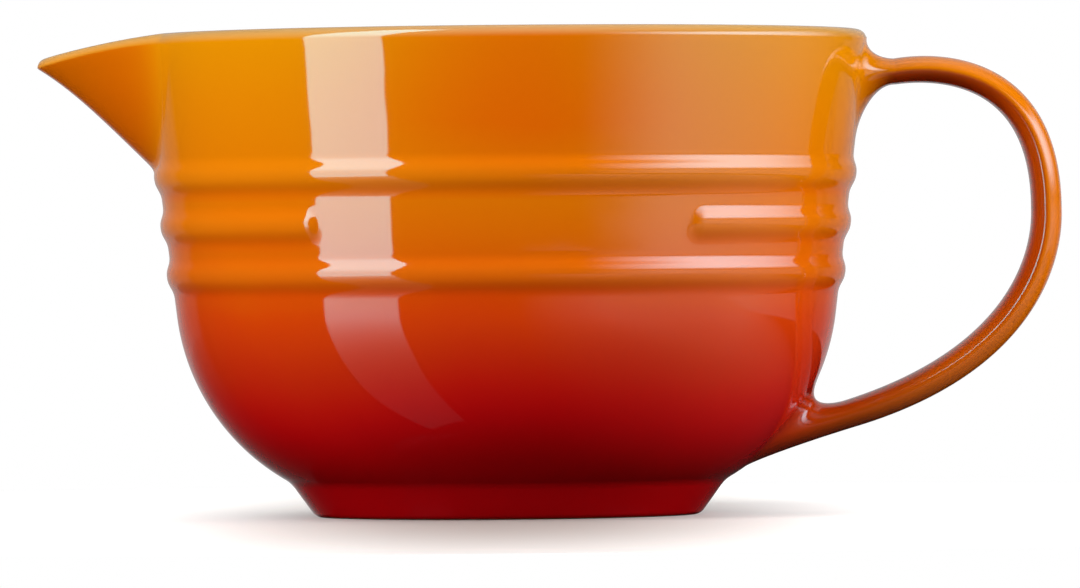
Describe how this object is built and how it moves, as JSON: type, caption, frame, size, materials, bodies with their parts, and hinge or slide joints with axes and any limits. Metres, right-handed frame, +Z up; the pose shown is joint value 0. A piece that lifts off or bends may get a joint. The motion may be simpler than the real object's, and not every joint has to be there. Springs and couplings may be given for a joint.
{
  "type": "batter bowl",
  "caption": "Footed stoneware batter bowl with a pulled pouring spout, raised ribs round the wall and a looped strap handle.",
  "frame": {"origin": "on the bowl's axis in the plane of the foot's bearing face", "axes": "+Z up along the bowl's axis, +X towards the handle, so the spout pours towards -X"},
  "size_m": [0.2763, 0.195, 0.13],
  "materials": {
    "amber_glaze": "glossy amber glaze that deepens to red towards the foot",
    "red_glaze": "glossy deep red glaze, with a bare fired ring where the foot stands"
  },
  "bodies": {
    "root": {"bowl_body": "amber_glaze", "foot_ring": "red_glaze", "spout": "amber_glaze", "handle": "amber_glaze", "upper_handle_joint": "amber_glaze", "lower_handle_joint": "red_glaze"}
  },
  "joints": []
}
